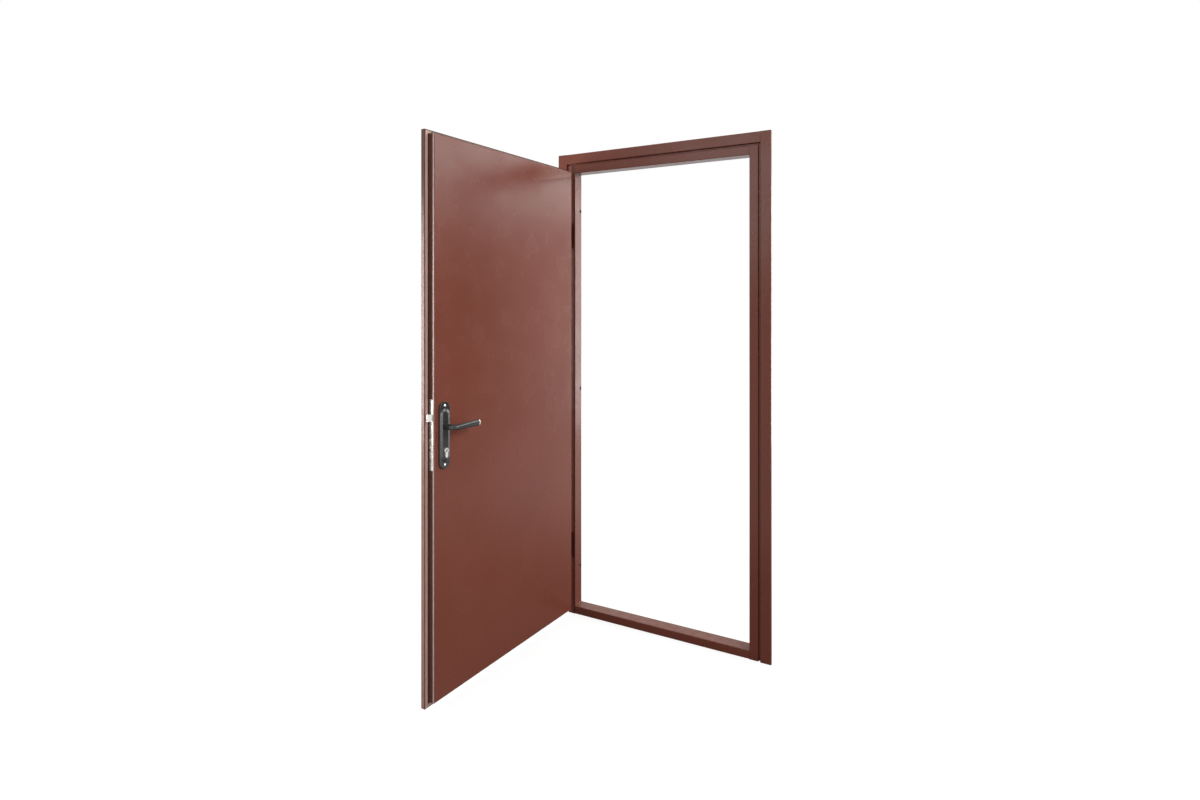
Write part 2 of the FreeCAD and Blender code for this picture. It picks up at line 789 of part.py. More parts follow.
def opened(shape):
    """Turn a piece of the closed leaf to the angle at which the leaf stands open."""
    turned = shape.copy()
    turned.rotate(Vector(hinge_x, hinge_y, 0), Vector(0, 0, 1), -open_angle)
    return turned


def frame_pieces():
    return {
        "hinge_jamb": make_hinge_jamb(),
        "lock_jamb": make_lock_jamb(),
        "head": make_head(),
        "threshold": make_threshold(),
        "strike_plate": make_strike_plate(),
        "upper_hinge_frame_half": make_hinge_frame_half(upper_hinge_height),
        "lower_hinge_frame_half": make_hinge_frame_half(lower_hinge_height),
        "upper_hinge_pin": make_hinge_pin(upper_hinge_height),
        "lower_hinge_pin": make_hinge_pin(lower_hinge_height),
    }


def leaf_pieces():
    pieces = {
        "leaf_outer_skin": make_leaf_outer_skin(),
        "leaf_inner_tray": make_leaf_inner_tray(),
        "leaf_seal": make_leaf_seal(),
        "upper_hinge_leaf_half": make_hinge_leaf_half(upper_hinge_height),
        "lower_hinge_leaf_half": make_hinge_leaf_half(lower_hinge_height),
        "lock_case": make_lock_case(),
        "lock_forend": make_lock_forend(),
        "forend_screws": make_forend_screws(),
        "lock_cylinder": make_lock_cylinder(),
        "cylinder_screw": make_cylinder_screw(),
        "inner_plug": make_inner_plug(),
        "outer_plug": make_outer_plug(),
        "cylinder_cam": make_cylinder_cam(),
        "latch_bolt": make_latch_bolt(),
        "bolt_carrier": make_bolt_carrier(),
        "inner_plate": make_inner_plate(),
        "outer_plate": make_outer_plate(),
        "plate_screws": make_plate_screws(),
        "inner_lever": make_inner_lever(),
        "outer_lever": make_outer_lever(),
        "spindle": make_spindle(),
    }
    for name, height in bolt_heights.items():
        pieces[name] = make_deadbolt(height)
    return pieces


def main():
    os.makedirs("parts", exist_ok=True)
    for name, shape in frame_pieces().items():
        shape.exportStep("parts/" + name + ".step")
    for name, shape in leaf_pieces().items():
        opened(shape).exportStep("parts/" + name + ".step")


main()
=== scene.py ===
import json
import math
import random

import bmesh
import bpy
from mathutils import Matrix, Vector, noise


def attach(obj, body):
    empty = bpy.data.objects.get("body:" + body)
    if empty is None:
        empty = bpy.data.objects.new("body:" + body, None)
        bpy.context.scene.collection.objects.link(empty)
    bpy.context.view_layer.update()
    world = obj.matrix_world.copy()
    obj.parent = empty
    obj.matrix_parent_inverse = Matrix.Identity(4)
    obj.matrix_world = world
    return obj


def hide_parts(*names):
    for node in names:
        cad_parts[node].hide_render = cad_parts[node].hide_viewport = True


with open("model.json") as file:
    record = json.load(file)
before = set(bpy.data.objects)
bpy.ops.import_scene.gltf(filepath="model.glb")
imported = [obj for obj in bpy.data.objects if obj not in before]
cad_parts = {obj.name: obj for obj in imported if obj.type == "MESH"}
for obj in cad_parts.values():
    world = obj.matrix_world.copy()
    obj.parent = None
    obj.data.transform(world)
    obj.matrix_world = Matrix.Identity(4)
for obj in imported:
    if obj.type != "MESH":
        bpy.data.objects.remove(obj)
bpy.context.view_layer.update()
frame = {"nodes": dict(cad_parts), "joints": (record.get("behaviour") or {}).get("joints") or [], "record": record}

MM = 0.001
draws = random.Random(11)

# Sizes of the leaf and its lock that the added pieces are set against, in millimetres,
# leaf closed
TRAY_HALF_WIDTH = 389.0
TRAY_BOTTOM = 42.0
TRAY_TOP = 1959.0
FLANGE_HALF_WIDTH = 403.5
FLANGE_BOTTOM = 20.0
FLANGE_TOP = 1973.5
FLANGE_INNER_FACE = -31.5
SKIN_FACE = -49.5
TRAY_FACE = -0.5
LOCK_PLANE = -18.0
LOCK_AXIS_X = 347.0
SPINDLE_HEIGHT = 967.0
PLATE_THICKNESS = 6.0
OPEN_ANGLE = 95.0

# Sizes of the frame, in millimetres
FRAME_HALF_WIDTH = 480.0
FRAME_TOP = 2050.0
FRAME_SHEET = 1.5
CASING_INNER = 437.0
CASING_BOTTOM = 2007.0
CASING_FRONT = -31.5
CASING_RETURN_BACK = -21.5
STRIP_OUTER = 429.0
STRIP_TOP = 1999.0
STOP_FRONT = -28.5
GROOVE_FLOOR = -20.5
REVEAL = 394.0
HEAD_SOFFIT = 1964.0
THRESHOLD_TOP = 34.0

# Hinges, in millimetres: pin axis, half thicknesses of the leaf's wing and the jamb's pad, heights
HINGE_X = -421.0
HINGE_Y = -40.5
HINGE_WING = 3.5
HINGE_PAD = 6.0
HINGE_HEIGHTS = (("upper", 1685.0), ("lower", 310.0))


# Placing

swing = next(j for j in frame["joints"] if j["name"] == "leaf_swing")
hinge = Vector(swing["pos_m"])
OPENED = (Matrix.Translation(hinge)
          @ Matrix.Rotation(math.radians(-OPEN_ANGLE), 4, "Z")
          @ Matrix.Translation(-hinge))


def closed_leaf(x, y, z):
    """A point of the closed leaf in millimetres, where it lies with the leaf open, in metres."""
    return OPENED @ (Vector((x, y, z)) * MM)


def fixed(x, y, z):
    """A point of the frame in millimetres, in metres."""
    return Vector((x, y, z)) * MM


# Material nodes

def add(tree, kind, settings=None, inputs=None):
    """New node; an input is a socket to link or a value to set."""
    made = tree.nodes.new(kind)
    for key, value in (settings or {}).items():
        setattr(made, key, value)
    for key, value in (inputs or {}).items():
        if isinstance(value, bpy.types.NodeSocket):
            tree.links.new(value, made.inputs[key])
        else:
            made.inputs[key].default_value = value
    return made


def noise_of(tree, place, scale, detail=2.0, roughness=0.5):
    """Soft noise between 0 and 1, with scale cells to the metre."""
    made = add(tree, "ShaderNodeTexNoise", None,
               {"Vector": place, "Scale": scale, "Detail": detail, "Roughness": roughness})
    return made.outputs[0]


def ramp(tree, value, stops):
    """Colours along a value: stops are (place, colour)."""
    made = add(tree, "ShaderNodeValToRGB", None, {"Fac": value})
    steps = made.color_ramp.elements
    while len(steps) < len(stops):
        steps.new(0.5)
    for step, (place, colour) in zip(steps, stops):
        step.position = place
        step.color = (*colour, 1.0)
    return made.outputs[0]


def spread(tree, value, low, high, to_low, to_high):
    """Maps low..high to to_low..to_high, held at both ends."""
    made = add(tree, "ShaderNodeMapRange", {"clamp": True},
               {"Value": value, "From Min": low, "From Max": high,
                "To Min": to_low, "To Max": to_high})
    return made.outputs[0]


def maths(tree, operation, first, second):
    """One operation on two sockets or values."""
    return add(tree, "ShaderNodeMath", {"operation": operation}, {0: first, 1: second}).outputs[0]


def product(tree, first, *others):
    for other in others:
        first = maths(tree, "MULTIPLY", first, other)
    return first


def greater(tree, first, second):
    return maths(tree, "MAXIMUM", first, second)


def rising(tree, value, start, end, top=1.0):
    """0 below start and top above end; the value is in metres, start and end in millimetres."""
    return spread(tree, value, start * MM, end * MM, 0.0, top)


def falling(tree, value, start, end):
    """1 below start and 0 above end; the value is in metres, start and end in millimetres."""
    return spread(tree, value, start * MM, end * MM, 1.0, 0.0)


def mixed(tree, share, first, second):
    """Colour mix: inputs 6 and 7 are its two colours."""
    made = add(tree, "ShaderNodeMix", {"data_type": "RGBA"}, {0: share, 6: first, 7: second})
    return made.outputs[2]


def tinted(tree, base, share, colour):
    """The base colour, going over to an even colour by a share."""
    return mixed(tree, share, base, (*colour, 1))


def bump(tree, height, distance, strength, normal=None):
    inputs = {"Height": height, "Distance": distance, "Strength": strength}
    if normal is not None:
        inputs["Normal"] = normal
    return add(tree, "ShaderNodeBump", None, inputs).outputs[0]


def edge_mask(tree, radius, softest, hardest):
    """1 on sharp edges and 0 on flat faces, with the rounded normal that found them."""
    rounded = add(tree, "ShaderNodeBevel", {"samples": 6}, {"Radius": radius}).outputs[0]
    flat = add(tree, "ShaderNodeNewGeometry").outputs["Normal"]
    dot = add(tree, "ShaderNodeVectorMath", {"operation": "DOT_PRODUCT"},
              {0: rounded, 1: flat}).outputs["Value"]
    return spread(tree, dot, softest, hardest, 0.0, 1.0), rounded


def axes_of(tree, vector):
    return add(tree, "ShaderNodeSeparateXYZ", None, {0: vector}).outputs


def bare_material(name):
    """Empty node tree with its object coordinates, in metres."""
    material = bpy.data.materials.new(name)
    material.use_nodes = True
    tree = material.node_tree
    tree.nodes.clear()
    return material, tree, add(tree, "ShaderNodeTexCoord").outputs["Object"]


def start_material(name):
    material, tree, place = bare_material(name)
    shader = add(tree, "ShaderNodeBsdfPrincipled")
    add(tree, "ShaderNodeOutputMaterial", None, {"Surface": shader.outputs[0]})
    return material, tree, place, shader


def link_all(tree, shader, **sockets):
    """Links or sets the shader's sockets, named with _ for a space."""
    for key, value in sockets.items():
        name = key.replace("_", " ")
        if isinstance(value, bpy.types.NodeSocket):
            tree.links.new(value, shader.inputs[name])
        else:
            shader.inputs[name].default_value = value


# Places where a material changes, each a mask from 0 to 1

def leaf_distance(tree, place, direction):
    """Distance along a direction of the closed leaf, in metres."""
    turned = OPENED.to_3x3() @ Vector(direction)
    along = add(tree, "ShaderNodeVectorMath", {"operation": "DOT_PRODUCT"},
                {0: place, 1: tuple(turned)}).outputs["Value"]
    return maths(tree, "SUBTRACT", along, turned.dot(closed_leaf(0.0, 0.0, 0.0)))


def leaf_width(tree, place):
    return leaf_distance(tree, place, (1.0, 0.0, 0.0))


def leaf_depth(tree, place):
    return leaf_distance(tree, place, (0.0, 1.0, 0.0))


def on_leaf(tree, place):
    """1 in front of the frame, where only the open leaf is."""
    return falling(tree, axes_of(tree, place)[1], -60.0, -55.0)


def in_flange_shadow(tree, place, fade_start, fade_end):
    """1 in the step round the leaf between its flange and its tray, in the flange's shadow: the place of painted
    shade.
    """
    depth = leaf_depth(tree, place)
    from_flange = rising(tree, depth, FLANGE_INNER_FACE - 1.0, FLANGE_INNER_FACE - 0.3)
    to_edge = falling(tree, depth, fade_start, fade_end)
    return product(tree, from_flange, to_edge, on_leaf(tree, place))


def latch_rim(tree, width, top=1.0):
    """The narrow outer face of the flange on the latch side."""
    return rising(tree, width, FLANGE_HALF_WIDTH - 0.7, FLANGE_HALF_WIDTH - 0.2, top)


# Heights between which the latch rim goes over from a painted highlight to a darker colour
HIGHLIGHT_BELOW = 1450.0
DARK_ABOVE = 1800.0


def edge_highlights(tree, place):
    """The latch side's two outer corners, where a painted highlight goes."""
    width = leaf_width(tree, place)
    tray_corner = product(
        tree,
        rising(tree, width, TRAY_HALF_WIDTH - 0.8, TRAY_HALF_WIDTH - 0.3),
        rising(tree, leaf_depth(tree, place), TRAY_FACE - 8.0, TRAY_FACE - 6.0))
    rim = product(tree, latch_rim(tree, width, 0.37),
                  falling(tree, axes_of(tree, place)[2], HIGHLIGHT_BELOW, DARK_ABOVE))
    return product(tree, greater(tree, tray_corner, rim), on_leaf(tree, place))


def dark_rims(tree, place):
    """The leaf's top rim and the upper part of its latch rim, which are coloured darker."""
    height = axes_of(tree, place)[2]
    rim = product(tree, latch_rim(tree, leaf_width(tree, place)),
                  rising(tree, height, HIGHLIGHT_BELOW, DARK_ABOVE))
    top_rim = rising(tree, height, FLANGE_TOP - 0.9, FLANGE_TOP - 0.3)
    return product(tree, greater(tree, rim, top_rim), on_leaf(tree, place))


def hinge_rebate(tree, place):
    """The narrow face of the hinge jamb that the open leaf stands beside, which gets painted shade."""
    x, y, _ = axes_of(tree, place)
    return product(
        tree,
        product(tree, rising(tree, x, -REVEAL - 21.0, -REVEAL - 18.0),
                falling(tree, x, -REVEAL - 0.5, -REVEAL + 0.2)),
        product(tree, rising(tree, y, STOP_FRONT - 1.5, STOP_FRONT - 0.5),
                falling(tree, y, STOP_FRONT + 0.2, STOP_FRONT + 0.7)))


def head_reflection_wedge(tree, place):
    """Wedge on the inner sheet, along its top by the hinges, fading out: painted reflection of the lit head, in
    blotches.
    """
    slope = 0.23
    faint_from, full_from = 1847.5, 1853.0  # heights of the sloping edge on the leaf's middle line
    width = leaf_width(tree, place)
    height = axes_of(tree, place)[2]
    sloped = maths(tree, "ADD", height, maths(tree, "MULTIPLY", width, slope))
    wedge = product(tree, rising(tree, sloped, faint_from, full_from),
                    falling(tree, height, TRAY_TOP - 0.4, TRAY_TOP + 0.2))
    return product(tree, wedge, falling(tree, width, -330.0, -120.0), on_leaf(tree, place))


def low_ledge(tree, place):
    """Upward faces close to the floor, coloured lighter in patches."""
    normal = add(tree, "ShaderNodeNewGeometry").outputs["Normal"]
    near_floor = spread(tree, axes_of(tree, place)[2], 0.06, 0.02, 0.0, 1.0)
    return product(tree, near_floor, spread(tree, axes_of(tree, normal)[2], 0.5, 0.9, 0.0, 1.0))


# Materials

# Colours that the powder coat goes over to: speckles, worn edges, lighter patches near the floor, painted shade,
# painted highlights, a painted reflection and darker rims
SPECKLED = (0.24, 0.085, 0.06)
WORN_EDGE = (0.36, 0.17, 0.13)
# lighter tone for upward faces near the floor
LEDGE_TONE = (0.34, 0.26, 0.22)
# painted shade in the flange's shadow round the tray
FLANGE_SHADE = (0.070, 0.026, 0.019)
# painted shade on the hinge jamb's face beside the leaf
REBATE_SHADE = (0.075, 0.022, 0.015)
# painted highlight on the latch side's corners
EDGE_HIGHLIGHT = (0.54, 0.46, 0.44)
# painted reflection of the lit head on the leaf's top
HEAD_REFLECTION = (0.44, 0.27, 0.235)
# darker tone for the top rim and the upper latch rim
DARK_RIM = (0.060, 0.045, 0.040)


def powder_coat():
    """Semi-gloss brown powder coat: orange peel, slight waves, worn edges, lighter patches near the floor, painted
    shade behind the flange and on the hinge rebate, painted highlights on the latch corners, a painted reflection
    by the hinges and darker rims.
    """
    material, tree, place, shader = start_material("brown_paint")
    base = ramp(tree, noise_of(tree, place, 2.3, 3.0),
                [(0.3, (0.185, 0.050, 0.031)), (0.7, (0.205, 0.057, 0.036))])
    speck = spread(tree, noise_of(tree, place, 420.0, 2.0), 0.55, 0.75, 0.0, 0.22)
    base = tinted(tree, base, speck, SPECKLED)
    edge, rounded = edge_mask(tree, 0.0012, 0.97, 0.75)
    patchy = spread(tree, noise_of(tree, place, 60.0, 4.0, 0.6), 0.4, 0.6, 0.25, 1.0)
    base = tinted(tree, base, product(tree, edge, patchy, 0.55), WORN_EDGE)
    # lighter patches on upward faces near the floor
    ledge_patches = spread(tree, noise_of(tree, place, 35.0, 6.0, 0.65), 0.35, 0.7, 0.1, 0.5)
    base = tinted(tree, base, product(tree, low_ledge(tree, place), ledge_patches), LEDGE_TONE)
    # painted shade in the flange's shadow round the tray, in patches; the same patches give the painted shade on
    # the hinge rebate
    shade_patches = spread(tree, noise_of(tree, place, 90.0, 4.0, 0.6), 0.3, 0.7, 0.65, 0.95)
    flange_shadow = in_flange_shadow(tree, place, TRAY_FACE - 9.0, TRAY_FACE - 6.5)
    base = tinted(tree, base, product(tree, flange_shadow, shade_patches), FLANGE_SHADE)
    # painted shade on the hinge jamb's face beside the open leaf
    base = tinted(tree, base, product(tree, hinge_rebate(tree, place), shade_patches), REBATE_SHADE)
    # painted highlight on the latch side's two outer corners, in patches
    highlight_patches = spread(tree, noise_of(tree, place, 40.0, 4.0, 0.6), 0.3, 0.7, 0.45, 0.75)
    base = tinted(tree, base, product(tree, edge_highlights(tree, place), highlight_patches), EDGE_HIGHLIGHT)
    # painted reflection of the lit head on the leaf's top by the hinges, in blotches
    blotches = spread(tree, noise_of(tree, place, 150.0, 4.0, 0.7), 0.35, 0.65, 0.35, 0.95)
    base = tinted(tree, base, product(tree, head_reflection_wedge(tree, place), blotches), HEAD_REFLECTION)
    # darker top rim and upper latch rim, in patches
    marks = spread(tree, noise_of(tree, place, 260.0, 3.0, 0.6), 0.4, 0.6, 0.45, 1.0)
    base = tinted(tree, base, product(tree, dark_rims(tree, place), marks), DARK_RIM)
    gloss = spread(tree, noise_of(tree, place, 9.0, 3.0), 0.3, 0.7, 0.22, 0.30)
    gloss = maths(tree, "ADD", gloss, maths(tree, "MULTIPLY", flange_shadow, 0.45))
    waves = bump(tree, noise_of(tree, place, 5.5, 1.0), 0.0011, 0.5, rounded)
    peel = bump(tree, noise_of(tree, place, 650.0, 1.0), 0.00008, 0.6, waves)
    link_all(tree, shader, Base_Color=base, Roughness=gloss, Normal=peel, Specular_IOR_Level=0.25)
    return material


def black_finish(name, smoothest, roughest):
    """Black finish over cast metal, rubbed slightly brighter at its edges."""
    material, tree, place, shader = start_material(name)
    base = ramp(tree, noise_of(tree, place, 60.0, 3.0),
                [(0.3, (0.024, 0.024, 0.025)), (0.7, (0.031, 0.031, 0.032))])
    edge, rounded = edge_mask(tree, 0.0009, 0.97, 0.7)
    base = tinted(tree, base, maths(tree, "MULTIPLY", edge, 0.35), (0.16, 0.15, 0.14))
    gloss = spread(tree, noise_of(tree, place, 120.0, 3.0), 0.3, 0.7, smoothest, roughest)
    grain = bump(tree, noise_of(tree, place, 900.0, 2.0), 0.00003, 0.4, rounded)
    link_all(tree, shader, Base_Color=base, Roughness=gloss, Normal=grain, Specular_IOR_Level=0.6)
    return material


def brushed_zinc():
    """Zinc-plated steel brushed along its height, with painted shade where the flange shadows it."""
    material, tree, place, shader = start_material("zinc_steel")
    along = add(tree, "ShaderNodeMapping", None, {"Vector": place, "Scale": (1.0, 1.0, 0.012)})
    lines = noise_of(tree, along.outputs[0], 2400.0, 3.0)
    base = ramp(tree, noise_of(tree, place, 55.0, 3.0),
                [(0.3, (0.52, 0.51, 0.49)), (0.7, (0.66, 0.65, 0.62))])
    base = tinted(tree, base, spread(tree, lines, 0.3, 0.7, 0.0, 0.35), (0.40, 0.40, 0.40))
    edge, rounded = edge_mask(tree, 0.0005, 0.97, 0.75)
    base = tinted(tree, base, maths(tree, "MULTIPLY", edge, 0.4), (0.85, 0.84, 0.82))
    blotch = spread(tree, noise_of(tree, place, 110.0, 3.0, 0.6), 0.38, 0.58, 0.55, 0.95)
    # painted shade on the forend's half that the flange shadows, in blotches
    flange_shadow = in_flange_shadow(tree, place, LOCK_PLANE - 0.5, LOCK_PLANE + 1.5)
    base = tinted(tree, base, product(tree, flange_shadow, blotch), (0.11, 0.10, 0.095))
    gloss = spread(tree, lines, 0.3, 0.7, 0.26, 0.42)
    grain = bump(tree, lines, 0.00002, 0.5, rounded)
    link_all(tree, shader, Base_Color=base, Roughness=gloss, Normal=grain, Metallic=1.0)
    return material


def satin_nickel(name, smoothest, roughest):
    """Nickel plate with fine handling marks."""
    material, tree, place, shader = start_material(name)
    base = ramp(tree, noise_of(tree, place, 80.0, 4.0),
                [(0.3, (0.66, 0.645, 0.60)), (0.7, (0.78, 0.765, 0.72))])
    edge, rounded = edge_mask(tree, 0.0004, 0.97, 0.75)
    base = tinted(tree, base, maths(tree, "MULTIPLY", edge, 0.4), (0.92, 0.91, 0.88))
    gloss = spread(tree, noise_of(tree, place, 300.0, 5.0, 0.7), 0.35, 0.65, smoothest, roughest)
    grain = bump(tree, noise_of(tree, place, 1500.0, 2.0), 0.00001, 0.4, rounded)
    link_all(tree, shader, Base_Color=base, Roughness=gloss, Normal=grain, Metallic=1.0)
    return material


def seal_rubber():
    """Matt beige-brown rubber, darker along the leaf's top."""
    material, tree, place, shader = start_material("seal_rubber")
    base = ramp(tree, noise_of(tree, place, 30.0, 5.0, 0.6),
                [(0.35, (0.58, 0.37, 0.295)), (0.75, (0.64, 0.425, 0.345))])
    _, y, z = axes_of(tree, place)
    corner = closed_leaf(TRAY_HALF_WIDTH, FLANGE_INNER_FACE, FLANGE_TOP)
    top_run = product(tree, spread(tree, z, corner.z - 0.015, corner.z - 0.012, 0.0, 1.0),
                      spread(tree, y, corner.y, corner.y + 0.02, 0.0, 1.0))
    # darker along the top run, in blotches
    blotches = spread(tree, noise_of(tree, place, 140.0, 4.0, 0.7), 0.35, 0.6, 0.55, 1.0)
    base = tinted(tree, base, product(tree, top_run, blotches), (0.075, 0.06, 0.05))
    gloss = spread(tree, noise_of(tree, place, 200.0, 3.0), 0.3, 0.7, 0.55, 0.75)
    grain = bump(tree, noise_of(tree, place, 1200.0, 2.0), 0.00004, 0.5)
    link_all(tree, shader, Base_Color=base, Roughness=gloss, Normal=grain)
    return material


MATERIALS = {
    "brown_paint": powder_coat(),
    "black_handle": black_finish("black_handle", 0.17, 0.26),
    "zinc_steel": brushed_zinc(),
    "nickel": satin_nickel("nickel", 0.16, 0.30),
    "seal_rubber": seal_rubber(),
}

for row in frame["record"]["subparts"]:
    node = frame["nodes"][row["node"]]
    node.data.materials.clear()
    node.data.materials.append(MATERIALS[row["material_slot"]])

MATT_NICKEL = satin_nickel("matt_nickel", 0.42, 0.50)
frame["nodes"]["lock_cylinder"].data.materials[0] = MATT_NICKEL


# Building pieces

SHARP_ANGLE = 35.0
WELD_SHARP_ANGLE = 60.0
ROUND_SIDES = 64
SHANK_SIDES = 32
TUBE_SIDES = 40


def piece(name, mesh_edit, body, slot, sharp_angle=SHARP_ANGLE, look=None):
    """Makes an object of the mesh; look stands in for its slot's own material."""
    mesh = bpy.data.meshes.new(name)
    bmesh.ops.recalc_face_normals(mesh_edit, faces=mesh_edit.faces)
    mesh_edit.to_mesh(mesh)
    mesh_edit.free()
    mesh.shade_smooth()
    mesh.set_sharp_from_angle(angle=math.radians(sharp_angle))
    mesh.materials.append(look or MATERIALS[slot])
    made = bpy.data.objects.new(name, mesh)
    bpy.context.scene.collection.objects.link(made)
    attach(made, body)
    return made


def rings_to_faces(mesh_edit, rings, looped=False, caps=True):
    """Skins rings of points: each joins the next, and the last the first or both get caps."""
    made = [[mesh_edit.verts.new(point) for point in ring] for ring in rings]
    count = len(made[0])
    following = made[1:] + made[:1] if looped else made[1:]
    for first, second in zip(made, following):
        for i in range(count):
            j = (i + 1) % count
            mesh_edit.faces.new((first[i], first[j], second[j], second[i]))
    if caps and not looped:
        mesh_edit.faces.new(made[0])
        mesh_edit.faces.new(list(reversed(made[-1])))


def circle(centre, first, second, radius, sides):
    """Points round a centre, in the plane of two directions, in millimetres."""
    angles = (2 * math.pi * k / sides for k in range(sides))
    return [centre + (first * math.cos(angle) + second * math.sin(angle)) * radius
            for angle in angles]


def placed(points, place):
    return [place(*point) for point in points]


def directions_across(start, end):
    """Two directions square to the line between two points."""
    along = (end - start).normalized()
    across = along.orthogonal().normalized()
    return across, along.cross(across)


def shank(mesh_edit, start, end, radius, place):
    """Plain round bar between two points, in millimetres."""
    start, end = Vector(start), Vector(end)
    across, upward = directions_across(start, end)
    rings = [placed(circle(point, across, upward, radius, SHANK_SIDES), place)
             for point in (start, end)]
    rings_to_faces(mesh_edit, rings)


def tube(mesh_edit, start, end, inner, outer, place):
    """Open tube between two points, in millimetres."""
    start, end = Vector(start), Vector(end)
    across, upward = directions_across(start, end)
    outline = ((start, inner), (start, outer), (end, outer), (end, inner), (start, inner))
    rings = [placed(circle(point, across, upward, radius, TUBE_SIDES), place)
             for point, radius in outline]
    rings_to_faces(mesh_edit, rings, caps=False)
    bmesh.ops.remove_doubles(mesh_edit, verts=mesh_edit.verts, dist=1e-7)


BEAD_SIDES = 10
BEAD_STEP = 0.7
BEAD_RIPPLE = 0.10
BEAD_RIPPLE_RATE = 2.1
BEAD_WANDER = 0.10
BEAD_WANDER_RATE = 0.3


def weld_bead(mesh_edit, start, end, toward, radius, place):
    """Rippled bead from start to end, in millimetres, half sunk.

    toward points out of the corner that the bead lies in.
    """
    start, end, toward = Vector(start), Vector(end), Vector(toward).normalized()
    along = (end - start).normalized()
    across = along.cross(toward)
    length = (end - start).length
    steps = max(6, int(length / BEAD_STEP))
    phase = draws.uniform(0, 50)
    rings = []
    for i in range(steps + 1):
        t = i / steps
        distance = t * length
        taper = min(1.0, math.sqrt(max(0.0, 4 * min(t, 1 - t) * length / (8 * radius))) + 0.15)
        ripple = 1 + BEAD_RIPPLE * abs(math.sin(distance * BEAD_RIPPLE_RATE + phase))
        wander = BEAD_WANDER * noise.noise(Vector((distance * BEAD_WANDER_RATE, phase, 0)))
        size = radius * taper * ripple * (1 + wander)
        centre = start + along * distance + across * radius * wander
        rings.append(placed(circle(centre, toward, across, size, BEAD_SIDES), place))
    rings_to_faces(mesh_edit, rings)


# Welds

LATCH_SIDE_STITCHES = (52, 195.5, 330, 471, 624.8, 790, 1090, 1226.4, 1387, 1540, 1680, 1806)
HINGE_SIDE_STITCHES = (90, 240, 395, 545, 700, 860, 1010, 1165, 1320, 1470, 1590, 1800, 1910)
TOP_AND_BOTTOM_STITCHES = (-330, -185, -40, 105, 250, 355)
STITCH_HALF_LENGTH = 6.0
STITCH_RADIUS = 1.7


def leaf_stitches():
    """Short weld stitches in the corner between the flange and the tray, all round the leaf."""
    mesh_edit = bmesh.new()
    for side, heights in ((1, LATCH_SIDE_STITCHES), (-1, HINGE_SIDE_STITCHES)):
        x = side * TRAY_HALF_WIDTH
        for z in heights:
            weld_bead(mesh_edit, (x, FLANGE_INNER_FACE, z - STITCH_HALF_LENGTH),
                      (x, FLANGE_INNER_FACE, z + STITCH_HALF_LENGTH),
                      (side, 1, 0), STITCH_RADIUS, closed_leaf)
    for x in TOP_AND_BOTTOM_STITCHES:
        for z, rise in ((TRAY_TOP, 1), (TRAY_BOTTOM, -1)):
            weld_bead(mesh_edit, (x - STITCH_HALF_LENGTH, FLANGE_INNER_FACE, z),
                      (x + STITCH_HALF_LENGTH, FLANGE_INNER_FACE, z),
                      (0, 1, rise), STITCH_RADIUS, closed_leaf)
    piece("leaf_stitch_welds", mesh_edit, "leaf", "brown_paint", WELD_SHARP_ANGLE)


leaf_stitches()


def hinge_welds():
    """Beads where the hinge wings meet the leaf and the hinge pads meet the jamb."""
    nearest, farthest = 3.0, 52.0
    radius = 1.8
    for name, height in HINGE_HEIGHTS:
        mesh_edit = bmesh.new()
        low, high = height + nearest, height + farthest
        for side in (-1, 1):
            y = HINGE_Y + side * HINGE_WING
            weld_bead(mesh_edit, (-FLANGE_HALF_WIDTH, y, low), (-FLANGE_HALF_WIDTH, y, high),
                      (-1, side, 0), radius, closed_leaf)
        piece(name + "_hinge_leaf_weld", mesh_edit, "leaf", "brown_paint", WELD_SHARP_ANGLE)
        mesh_edit = bmesh.new()
        low, high = height - farthest, height - nearest
        for side in (-1, 1):
            x = HINGE_X + side * HINGE_PAD
            weld_bead(mesh_edit, (x, STOP_FRONT, low), (x, STOP_FRONT, high),
                      (side, -1, 0), radius, fixed)
        piece(name + "_hinge_frame_weld", mesh_edit, "frame", "brown_paint", WELD_SHARP_ANGLE)


hinge_welds()


def frame_welds():
    """Beads along the joints between the head, the jambs and the threshold."""
    mesh_edit = bmesh.new()
    front, back = -26.0, 26.0
    for side in (-1, 1):
        x = side * REVEAL
        weld_bead(mesh_edit, (x, front, HEAD_SOFFIT), (x, back, HEAD_SOFFIT),
                  (-side, 0, -1), 1.3, fixed)
        weld_bead(mesh_edit, (x, front, THRESHOLD_TOP), (x, back, THRESHOLD_TOP),
                  (-side, 0, 1), 1.5, fixed)
    piece("frame_joint_welds", mesh_edit, "frame", "brown_paint", WELD_SHARP_ANGLE)


frame_welds()


# Screws

RECESS_DEPTH = 1.3
DOME_FALL = 0.85
RIM_SINK = 0.2
PLATE_SCREW_HEIGHTS = (836.0, 1038.0)
FOREND_SCREW_HEIGHTS = (831.0, 1053.0)


def arm_depth(along, beside, half_width, reach):
    """How deep one arm of a screw's cross is at a point, from 0 to 1."""
    edge = 0.25 * half_width + 0.05
    side = min(1.0, max(0.0, (half_width - abs(beside)) / edge + 0.5))
    end = min(1.0, max(0.0, (reach - abs(along)) / (4 * edge)))
    return side * end


